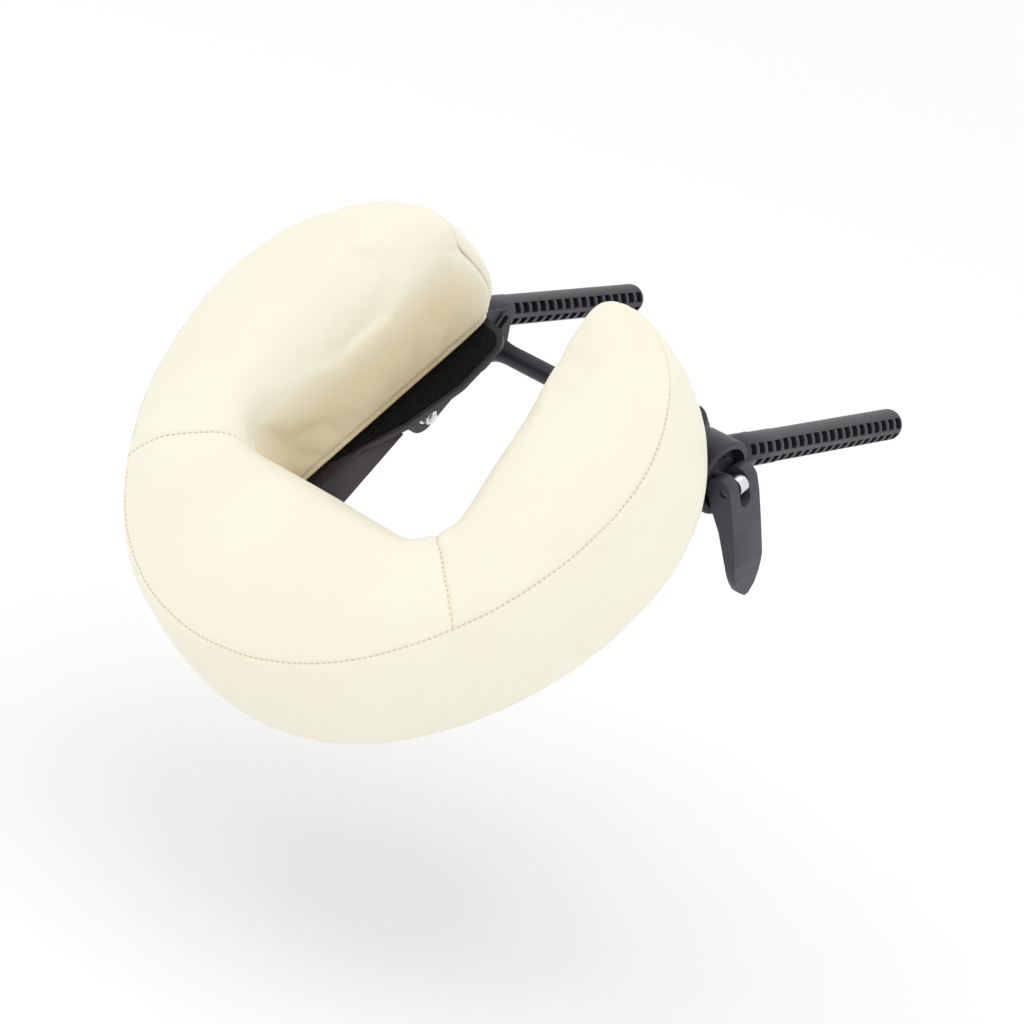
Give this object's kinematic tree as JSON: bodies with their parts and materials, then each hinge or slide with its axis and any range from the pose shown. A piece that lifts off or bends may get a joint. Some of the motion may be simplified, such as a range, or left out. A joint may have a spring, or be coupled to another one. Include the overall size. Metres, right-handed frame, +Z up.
{
  "type": "face cradle cushion",
  "caption": "Crescent face cushion on a tilting platform; twin cam levers lock its arms to a plug-in base with two posts.",
  "frame": {"origin": "midway between the two posts, on their axes, where they enter the table's sockets", "axes": "+X to the right, +Y along the posts towards the table, +Z up; the face opening looks up and back"},
  "size_m": [0.2792, 0.4492, 0.241],
  "materials": {
    "leatherette": "satin",
    "foam": "matte",
    "loop_fabric": "matte",
    "hook_fabric": "matte",
    "black_plastic": "satin",
    "lever_plastic": "satin",
    "rubber": "matte",
    "steel": "satin",
    "dark_steel": "satin"
  },
  "bodies": {
    "base": {"side_frame_left": "black_plastic", "side_frame_right": "black_plastic", "cross_tube": "black_plastic", "clamp_bolt_left": "steel", "clamp_bolt_right": "steel", "clamp_nut_left": "steel", "clamp_nut_right": "steel", "nut_washer_left": "steel", "nut_washer_right": "steel", "cam_washer_left": "black_plastic", "cam_washer_right": "black_plastic"},
    "arms": {"arm_left": "black_plastic", "arm_right": "black_plastic", "friction_ring_left": "rubber", "friction_ring_right": "rubber", "pivot_bolt_left": "steel", "pivot_bolt_right": "steel", "pivot_washer_left": "steel", "pivot_washer_right": "steel", "pivot_nut_left": "steel", "pivot_nut_right": "steel"},
    "platform": {"platform_tray": "black_plastic", "pivot_lug_left": "black_plastic", "pivot_lug_right": "black_plastic", "hook_strip_left": "hook_fabric", "hook_strip_right": "hook_fabric", "hook_strip_front": "hook_fabric", "foam_core": "foam", "cover_left": "leatherette", "cover_right": "leatherette", "cover_front": "leatherette", "cover_boxing": "leatherette", "loop_sheet": "loop_fabric"},
    "lever_left": {"cam_lever_left": "lever_plastic", "lever_pin_left": "dark_steel"},
    "lever_right": {"cam_lever_right": "lever_plastic", "lever_pin_right": "dark_steel"}
  },
  "joints": [
    {"name": "arms_tilt", "type": "hinge", "parent": "base", "child": "arms", "pos_m": [0, -0.052, -0.01], "axis": [1, 0, 0], "range_deg": [-46, 15]},
    {"name": "platform_tilt", "type": "hinge", "parent": "arms", "child": "platform", "pos_m": [0, -0.09, -0.0435], "axis": [1, 0, 0], "range_deg": [-5, 25]},
    {"name": "lever_left_open", "type": "hinge", "parent": "base", "child": "lever_left", "pos_m": [-0.1125, -0.052, -0.01], "axis": [0, 0.9397, 0.342], "range_deg": [0, 100]},
    {"name": "lever_right_open", "type": "hinge", "parent": "base", "child": "lever_right", "pos_m": [0.1125, -0.052, -0.01], "axis": [0, -0.9397, -0.342], "range_deg": [0, 100]}
  ]
}
